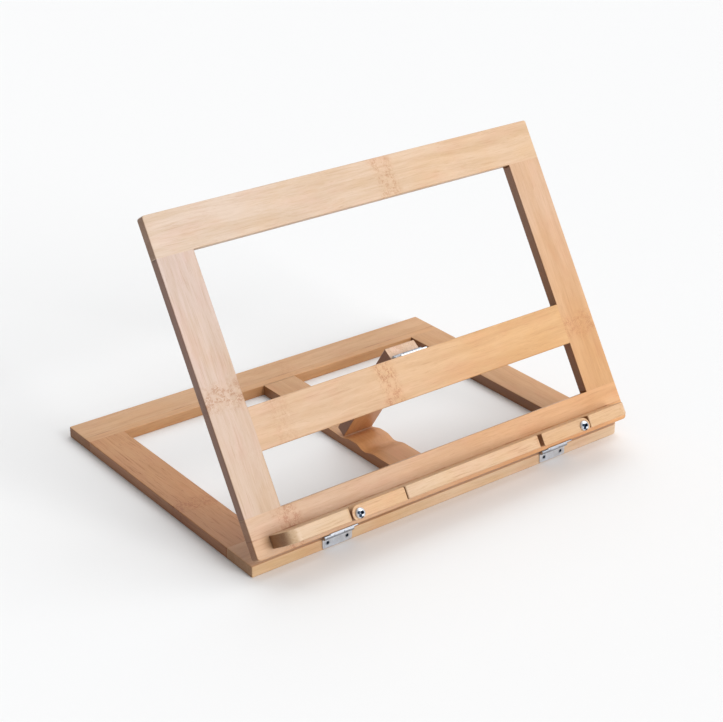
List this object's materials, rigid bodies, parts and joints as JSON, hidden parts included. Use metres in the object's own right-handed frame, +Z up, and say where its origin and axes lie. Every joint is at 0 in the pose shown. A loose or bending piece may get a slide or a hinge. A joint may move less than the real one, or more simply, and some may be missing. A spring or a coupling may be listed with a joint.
{
  "type": "book display stand",
  "caption": "Folding bamboo book stand: a hinged frame back with a ledge, swinging page clips and a prop leg that stands in a notched base rail.",
  "frame": {"origin": "middle of the base's footprint on the table, on the notched rail's underside", "axes": "+X to the reader's right along the base's width, +Y to the rear, +Z up"},
  "size_m": [0.34, 0.2746, 0.2198],
  "materials": {
    "bamboo": "satin",
    "dowel_wood": "matte",
    "hinge_steel": "satin",
    "screw_steel": "satin"
  },
  "bodies": {
    "base": {"base_front_rail": "bamboo", "base_rear_rail": "bamboo", "base_left_stile": "bamboo", "base_right_stile": "bamboo", "notched_rail": "bamboo", "base_dowels": "dowel_wood", "left_hinge_base_leaf": "hinge_steel", "left_hinge_pin": "hinge_steel", "right_hinge_base_leaf": "hinge_steel", "right_hinge_pin": "hinge_steel", "base_hinge_screws": "screw_steel"},
    "back": {"back_top_rail": "bamboo", "back_mid_rail": "bamboo", "back_bottom_rail": "bamboo", "back_left_stile": "bamboo", "back_right_stile": "bamboo", "back_dowels": "dowel_wood", "book_ledge": "bamboo", "ledge_screws": "screw_steel", "left_clip_screw": "screw_steel", "right_clip_screw": "screw_steel", "left_hinge_back_leaf": "hinge_steel", "right_hinge_back_leaf": "hinge_steel", "back_hinge_screws": "screw_steel", "prop_hinge_rail_leaf": "hinge_steel", "prop_hinge_pin": "hinge_steel", "prop_rail_screws": "screw_steel"},
    "prop": {"prop_leg": "bamboo", "prop_hinge_leg_leaf": "hinge_steel", "prop_leg_screws": "screw_steel"},
    "left_clip": {"left_page_clip": "bamboo"},
    "right_clip": {"right_page_clip": "bamboo"}
  },
  "joints": [
    {"name": "back_tilt", "type": "hinge", "parent": "base", "child": "back", "pos_m": [0, -0.1258, 0.0105], "axis": [1, 0, 0], "range_deg": [-56.4, 0]},
    {"name": "prop_swing", "type": "hinge", "parent": "back", "child": "prop", "pos_m": [0.0034, -0.07037, 0.09483], "axis": [1, 0, 0], "range_deg": [0, 114.5]},
    {"name": "left_clip_turn", "type": "hinge", "parent": "back", "child": "left_clip", "pos_m": [-0.098, -0.14739, 0.03566], "axis": [0, -0.8448, 0.5351], "range_deg": [0, 90]},
    {"name": "right_clip_turn", "type": "hinge", "parent": "back", "child": "right_clip", "pos_m": [0.1085, -0.14739, 0.03566], "axis": [0, 0.8448, -0.5351], "range_deg": [0, 90]}
  ],
  "couplings": [
    {"joint": "prop_swing", "follows": "back_tilt", "ratio": -2.03}
  ]
}
